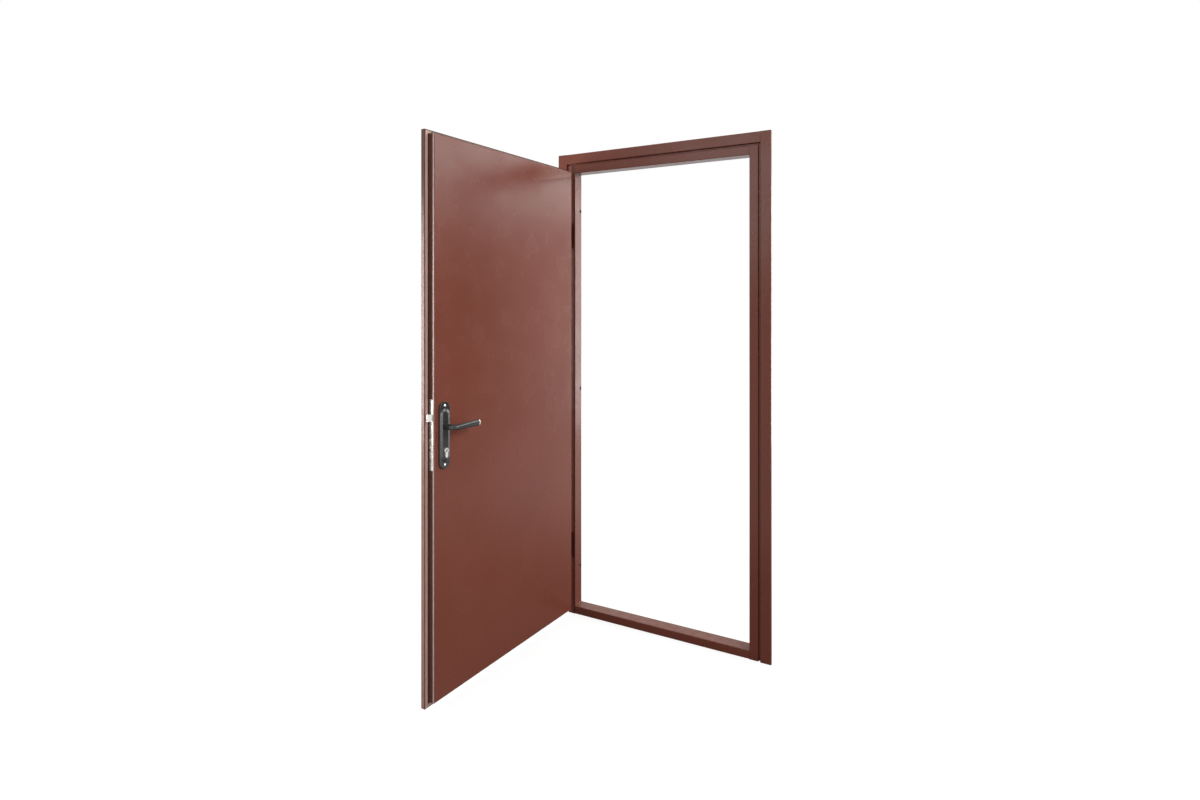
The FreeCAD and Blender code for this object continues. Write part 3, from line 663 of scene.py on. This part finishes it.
def screw_head(mesh_edit, centre, outward, radius, rise, place):
    """Domed head with a cross recess, built as rings of points round its axis."""
    centre, outward, up = Vector(centre), Vector(outward).normalized(), Vector((0, 0, 1))
    across = up.cross(outward)
    turn = draws.uniform(0, math.pi / 2)
    arm_half_width = radius * 0.10
    arm_reach = radius * 0.5
    rings = []
    for share in (0.06 + 0.94 * i / 20 for i in range(21)):
        ring = []
        for k in range(ROUND_SIDES):
            angle = 2 * math.pi * k / ROUND_SIDES
            u = radius * share * math.cos(angle)
            v = radius * share * math.sin(angle)
            cu = u * math.cos(turn) + v * math.sin(turn)
            cv = -u * math.sin(turn) + v * math.cos(turn)
            height = rise * (1 - DOME_FALL * share ** 2)
            inside = max(arm_depth(cu, cv, arm_half_width, arm_reach),
                         arm_depth(cv, cu, arm_half_width, arm_reach))
            height -= RECESS_DEPTH * inside
            ring.append(place(*(centre + across * u + up * v + outward * height)))
        rings.append(ring)
    rim = circle(centre, across, up, radius, ROUND_SIDES)
    rings.append(placed([point - outward * RIM_SINK for point in rim], place))
    rings_to_faces(mesh_edit, rings)


def screws():
    """Screws of the handle plates and of the forend, with cross recesses."""
    mesh_edit = bmesh.new()
    plate_face = TRAY_FACE + PLATE_THICKNESS
    outer_face = SKIN_FACE - PLATE_THICKNESS
    for z in PLATE_SCREW_HEIGHTS:
        screw_head(mesh_edit, (LOCK_AXIS_X, plate_face, z), (0, 1, 0),
                   radius=4.5, rise=1.6, place=closed_leaf)
        shank(mesh_edit, (LOCK_AXIS_X, outer_face, z), (LOCK_AXIS_X, plate_face - 0.3, z),
              radius=2.5, place=closed_leaf)
        shank(mesh_edit, (LOCK_AXIS_X, SKIN_FACE, z), (LOCK_AXIS_X, TRAY_FACE, z),
              radius=4.0, place=closed_leaf)
    made = piece("plate_through_screws", mesh_edit, "leaf", "nickel")
    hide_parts("plate_screws")
    mesh_edit = bmesh.new()
    for z in FOREND_SCREW_HEIGHTS:
        screw_head(mesh_edit, (TRAY_HALF_WIDTH - 0.5, LOCK_PLANE, z), (1, 0, 0),
                   radius=3.5, rise=0.5, place=closed_leaf)
        shank(mesh_edit, (TRAY_HALF_WIDTH - 16.0, LOCK_PLANE, z),
              (TRAY_HALF_WIDTH - 2.0, LOCK_PLANE, z), radius=2.4, place=closed_leaf)
    made = piece("forend_fixing_screws", mesh_edit, "leaf", "nickel")
    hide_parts("forend_screws")


screws()


# Trim

ANCHOR_Y = 18.5
ANCHOR_HEIGHTS = (200.0, 1000.0, 1800.0)
ANCHOR_BORE = 5.0
SLEEVE_WALL = 1.5
SLEEVE_LENGTH = 14.0
COLLAR_RADIUS = 7.5
COLLAR_HEIGHT = 0.6


def anchor_sleeves():
    """Short black sleeves with a flat collar in the six wall anchor holes of the reveals."""
    mesh_edit = bmesh.new()
    reveal_back = REVEAL + FRAME_SHEET
    for side in (-1, 1):
        for z in ANCHOR_HEIGHTS:
            tube(mesh_edit, (side * reveal_back, ANCHOR_Y, z),
                 (side * (reveal_back + SLEEVE_LENGTH), ANCHOR_Y, z),
                 ANCHOR_BORE, ANCHOR_BORE + SLEEVE_WALL, fixed)
            tube(mesh_edit, (side * REVEAL, ANCHOR_Y, z),
                 (side * (REVEAL - COLLAR_HEIGHT), ANCHOR_Y, z),
                 ANCHOR_BORE, COLLAR_RADIUS, fixed)
    look = black_finish("matt_black", 0.75, 0.85)
    piece("anchor_hole_sleeves", mesh_edit, "frame", "black_handle", look=look)


anchor_sleeves()

GRIP_LENGTH = 118.0
GRIP_STAND_OFF = 51.0
GRIP_END_HEIGHT = 21.5
GRIP_END_THICKNESS = 12.0
CAP_DEPTH = 4.5
CAP_PROUD = 0.25

# Distance along the grip from its end, and how far the cap stands off the grip's surface
CAP_OUTLINE = ((CAP_DEPTH, -0.4), (CAP_DEPTH, CAP_PROUD), (1.2, CAP_PROUD),
               (0.5, CAP_PROUD - 0.25), (0.1, CAP_PROUD - 0.8), (0.0, -1.6), (0.0, -3.5))


def lever_end_caps():
    """Bright nickel cap round the free end of each grip, rounded over its rim: its light colour stands in for the
    highlight that the rim catches.
    """
    tip_x = LOCK_AXIS_X - GRIP_LENGTH
    for name, face, outward in (("inner", TRAY_FACE, 1), ("outer", SKIN_FACE, -1)):
        mesh_edit = bmesh.new()
        middle = face + outward * GRIP_STAND_OFF
        rings = []
        for along, off in CAP_OUTLINE:
            ring = []
            for k in range(ROUND_SIDES):
                angle = 2 * math.pi * k / ROUND_SIDES
                across = (GRIP_END_THICKNESS / 2 + off) * math.cos(angle)
                rise = (GRIP_END_HEIGHT / 2 + off) * math.sin(angle)
                ring.append(closed_leaf(tip_x + along, middle + across, SPINDLE_HEIGHT + rise))
            rings.append(ring)
        rings_to_faces(mesh_edit, rings)
        piece(name + "_grip_end_cap", mesh_edit, "lever", "nickel", look=MATT_NICKEL)


lever_end_caps()

# Section of the seal: distance from its middle across the flange, and out from the flange
SEAL_PROFILE = ((-5.0, 0.0), (5.0, 0.0), (5.0, 1.1), (4.5, 2.0), (3.4, 2.45), (2.2, 2.1),
                (1.2, 1.5), (0.0, 1.3), (-1.2, 1.5), (-2.2, 2.1), (-3.4, 2.45), (-4.5, 2.0),
                (-5.0, 1.1))
SEAL_MIDDLE_FROM_EDGE = 8.0


def door_seal():
    """Two-lipped rubber strip round the flange, mitred at its corners."""
    middle = FLANGE_HALF_WIDTH - SEAL_MIDDLE_FROM_EDGE
    low = FLANGE_BOTTOM + SEAL_MIDDLE_FROM_EDGE
    high = FLANGE_TOP - SEAL_MIDDLE_FROM_EDGE
    mesh_edit = bmesh.new()
    rings = []
    for side, z, rise in ((-1, low, -1), (1, low, -1), (1, high, 1), (-1, high, 1)):
        rings.append([closed_leaf(side * (middle + across), FLANGE_INNER_FACE + out,
                                  z + rise * across)
                      for across, out in SEAL_PROFILE])
    rings_to_faces(mesh_edit, rings, looped=True)
    strip = piece("flange_seal_strip", mesh_edit, "leaf", "seal_rubber")
    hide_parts("leaf_seal")


door_seal()


def patch(mesh_edit, side, x_near, x_far, y_range, z_range):
    """Thin plate with broken edges, set in flush with the sheets round it, in millimetres."""
    edge = 0.25
    x_low, x_high = sorted((side * x_near, side * x_far))
    (y_low, y_high), (z_low, z_high) = y_range, z_range
    rings = []
    for z, inset in ((z_low, edge), (z_low + edge, 0.0), (z_high - edge, 0.0), (z_high, edge)):
        left, right = x_low + inset, x_high - inset
        front, back = y_low + inset, y_high - inset
        outline = ((left, front + edge), (left + edge, front), (right - edge, front),
                   (right, front + edge), (right, back - edge), (right - edge, back),
                   (left + edge, back), (left, back - edge))
        rings.append([fixed(x, y, z) for x, y in outline])
    rings_to_faces(mesh_edit, rings)


def corner_patches():
    """Plates that close the jambs' open ends at the frame's upper corners, and the welds there."""
    mesh_edit = bmesh.new()
    gap = 0.5
    inset = 1.0
    front_radius = 0.85
    for side in (-1, 1):
        patch(mesh_edit, side, REVEAL + gap, STRIP_OUTER - gap,
              (STOP_FRONT + FRAME_SHEET / 2, GROOVE_FLOOR + FRAME_SHEET),
              (STRIP_TOP - FRAME_SHEET, STRIP_TOP))
        weld_bead(mesh_edit, (side * (REVEAL + inset), GROOVE_FLOOR, STRIP_TOP),
                  (side * (STRIP_OUTER - inset), GROOVE_FLOOR, STRIP_TOP),
                  (0, -1, 1), 0.9, fixed)
        patch(mesh_edit, side, CASING_INNER + gap, FRAME_HALF_WIDTH - inset,
              (CASING_FRONT + FRAME_SHEET / 2, CASING_RETURN_BACK),
              (FRAME_TOP - FRAME_SHEET, FRAME_TOP - 0.1))
        seams = ((CASING_INNER + 0.7, CASING_FRONT + 0.8, CASING_BOTTOM + 1.0, FRAME_TOP - 1.0),
                 (REVEAL + 0.8, STOP_FRONT + 0.9, HEAD_SOFFIT + 2.0, STRIP_TOP))
        for x, y, low, high in seams:
            weld_bead(mesh_edit, (side * x, y, low), (side * x, y, high),
                      (0, -1, 0), front_radius, fixed)
    piece("frame_corner_patches", mesh_edit, "frame", "brown_paint", WELD_SHARP_ANGLE)


corner_patches()


# Floor, light and camera

def staged_sheet(name, corners, material):
    """One flat face, in metres."""
    mesh_edit = bmesh.new()
    mesh_edit.faces.new([mesh_edit.verts.new(point) for point in corners])
    mesh = bpy.data.meshes.new(name)
    mesh_edit.to_mesh(mesh)
    mesh_edit.free()
    mesh.materials.append(material)
    made = bpy.data.objects.new(name, mesh)
    bpy.context.scene.collection.objects.link(made)
    return made


def camera_and_mirror_rays(tree):
    """1 for rays from the camera, and 1 for rays that were mirrored or passed through."""
    path = add(tree, "ShaderNodeLightPath").outputs
    return path["Is Camera Ray"], greater(tree, path["Is Glossy Ray"], path["Is Transmission Ray"])


def studio_floor():
    """Matt grey floor that takes the shadow; the camera and far reflections see it near white."""
    material, tree, place = bare_material("studio_floor")
    tone = ramp(tree, noise_of(tree, place, 3.0),
                [(0.3, (0.20, 0.20, 0.20)), (0.7, (0.22, 0.22, 0.22))])
    matt = add(tree, "ShaderNodeBsdfDiffuse", None, {"Color": tone}).outputs[0]
    centred = add(tree, "ShaderNodeVectorMath", {"operation": "SUBTRACT"},
                  {0: place, 1: (0.0, -0.2, 0.0)}).outputs[0]
    reach = add(tree, "ShaderNodeVectorMath", {"operation": "LENGTH"},
                {0: centred}).outputs["Value"]
    away = spread(tree, reach, 0.5, 1.6, 0.05, 1.0)
    seen, mirrored = camera_and_mirror_rays(tree)
    shown = greater(tree, seen, maths(tree, "MULTIPLY", mirrored, away))
    level = spread(tree, reach, 1.0, 2.4, 0.85, 1.0)
    lift = add(tree, "ShaderNodeEmission", None,
               {"Color": (1, 1, 1, 1), "Strength": product(tree, shown, level)}).outputs[0]
    both = add(tree, "ShaderNodeAddShader", None, {0: matt, 1: lift}).outputs[0]
    add(tree, "ShaderNodeOutputMaterial", None, {"Surface": both})
    half, height = 12.0, -0.0005
    corners = [(x * half, y * half, height) for x, y in ((-1, -1), (1, -1), (1, 1), (-1, 1))]
    floor = staged_sheet("studio_floor", corners, material)


studio_floor()


def dark_card():
    """Dark card right of the doorway, seen by reflections and not by the camera."""
    material, tree, place = bare_material("dark_card")
    tone = ramp(tree, noise_of(tree, place, 2.0),
                [(0.3, (0.05, 0.05, 0.05)), (0.7, (0.07, 0.07, 0.07))])
    matt = add(tree, "ShaderNodeBsdfDiffuse", None, {"Color": tone}).outputs[0]
    add(tree, "ShaderNodeOutputMaterial", None, {"Surface": matt})
    x, near, far, bottom, top = 2.7, 0.6, 2.4, 0.02, 2.0
    corners = ((x, near, bottom), (x, far, bottom), (x, far, top), (x, near, top))
    card = staged_sheet("dark_card", corners, material)
    card.visible_camera = False


dark_card()


def studio_world():
    """Soft studio surround, brighter above, and white to the camera and in reflections."""
    world = bpy.data.worlds.new("studio")
    world.use_nodes = True
    bpy.context.scene.world = world
    tree = world.node_tree
    tree.nodes.clear()
    direction = add(tree, "ShaderNodeTexCoord").outputs["Generated"]
    level = spread(tree, axes_of(tree, direction)[2], -0.1, 0.9, 0.20, 0.62)
    strength = greater(tree, level, greater(tree, *camera_and_mirror_rays(tree)))
    surround = add(tree, "ShaderNodeBackground", None,
                   {"Color": (1, 1, 1, 1), "Strength": strength})
    add(tree, "ShaderNodeOutputWorld", None, {"Surface": surround.outputs[0]})


studio_world()

# Soft lamps: name, place and aim in metres, width, height, watts
LAMPS = (
    ("right_high", (3.2, -0.6, 3.0), (-0.45, -0.5, 1.3), 1.6, 1.2, 60.0),
    ("right_low", (3.4, -0.6, 0.9), (-0.45, -0.5, 1.1), 1.4, 1.4, 18.0),
    ("high_behind", (2.5, 1.9, 2.9), (-0.45, -0.6, 1.6), 3.0, 1.2, 55.0),
    ("left_front", (-2.175, -1.747, 1.25), (-0.49, -0.87, 1.25), 0.30, 1.4, 46.0),
    ("narrow_behind", (1.3, 2.85, 1.3), (-0.4, 0.0, 1.3), 0.5, 2.2, 24.0),
    ("front_left", (-0.95, -4.2, 2.6), (0.0, 0.0, 1.5), 1.5, 1.5, 24.0),
)

for lamp_name, place, aim, width, height, watts in LAMPS:
    lamp_data = bpy.data.lights.new(lamp_name, "AREA")
    lamp_data.shape = "RECTANGLE"
    lamp_data.size = width
    lamp_data.size_y = height
    lamp_data.energy = watts
    lamp = bpy.data.objects.new(lamp_name, lamp_data)
    bpy.context.scene.collection.objects.link(lamp)
    lamp.location = place
    lamp.rotation_euler = (Vector(aim) - Vector(place)).to_track_quat("-Z", "Y").to_euler()
    lamp.visible_camera = False

# View fitted to the straight edges of the frame and the leaf
camera_data = bpy.data.cameras.new("camera")
camera_data.lens = 19.074
camera_data.sensor_width = 36.0
camera_data.shift_x = -0.0119
camera_data.shift_y = -0.0818
camera_data.clip_end = 60.0
camera = bpy.data.objects.new("camera", camera_data)
camera.location = (1.0638, -2.4676, 1.391)
camera.rotation_euler = (math.radians(90.0), 0.0, math.radians(27.34))
bpy.context.scene.collection.objects.link(camera)
bpy.context.scene.camera = camera
bpy.context.scene.view_settings.view_transform = "Standard"
